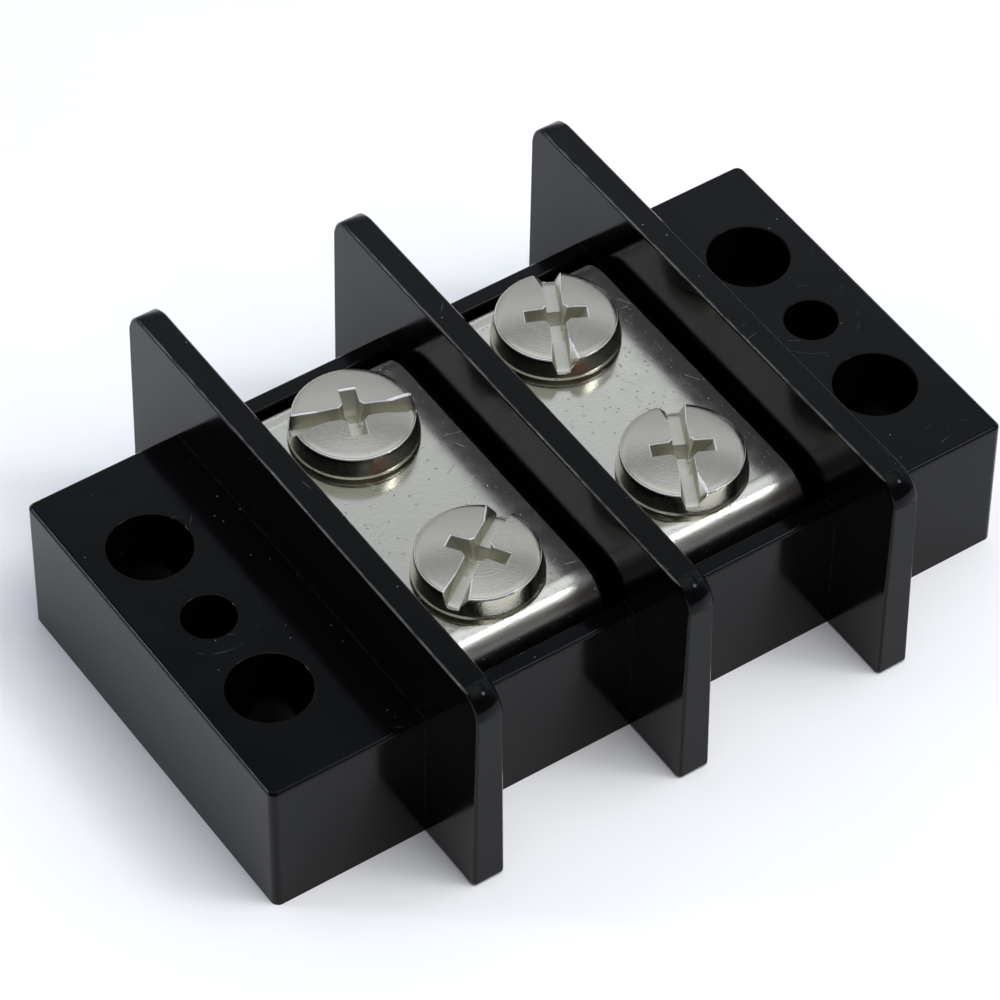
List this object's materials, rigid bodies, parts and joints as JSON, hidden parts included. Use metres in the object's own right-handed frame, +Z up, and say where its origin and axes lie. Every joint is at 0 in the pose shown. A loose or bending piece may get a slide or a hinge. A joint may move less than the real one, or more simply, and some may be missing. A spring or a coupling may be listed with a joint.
{
  "type": "terminal block",
  "caption": "Barrier terminal block with front and rear screw rows, tall fins between the poles, plated clamping straps and flanged ends with fixing holes.",
  "frame": {"origin": "middle of the underside", "axes": "+X along the row of poles, +Y towards the rear screws, +Z up out of the mounting face"},
  "size_m": [0.0624, 0.045, 0.0193],
  "materials": {
    "housing": "moulded, polished black thermoset",
    "strap": "nickel plated, tumbled",
    "screw": "nickel plated, satin, turned marks"
  },
  "bodies": {
    "base": {"moulded_base": "housing", "terminal_strap_1": "strap", "terminal_strap_2": "strap"},
    "screw_1_front": {"terminal_screw_1_front": "screw"},
    "screw_1_rear": {"terminal_screw_1_rear": "screw"},
    "screw_2_front": {"terminal_screw_2_front": "screw"},
    "screw_2_rear": {"terminal_screw_2_rear": "screw"}
  },
  "joints": [
    {"name": "screw_1_front_travel", "type": "slide", "parent": "base", "child": "screw_1_front", "axis": [0, 0, 1], "range_m": [0, 0.008]},
    {"name": "screw_1_rear_travel", "type": "slide", "parent": "base", "child": "screw_1_rear", "axis": [0, 0, 1], "range_m": [0, 0.008]},
    {"name": "screw_2_front_travel", "type": "slide", "parent": "base", "child": "screw_2_front", "axis": [0, 0, 1], "range_m": [0, 0.008]},
    {"name": "screw_2_rear_travel", "type": "slide", "parent": "base", "child": "screw_2_rear", "axis": [0, 0, 1], "range_m": [0, 0.008]}
  ]
}
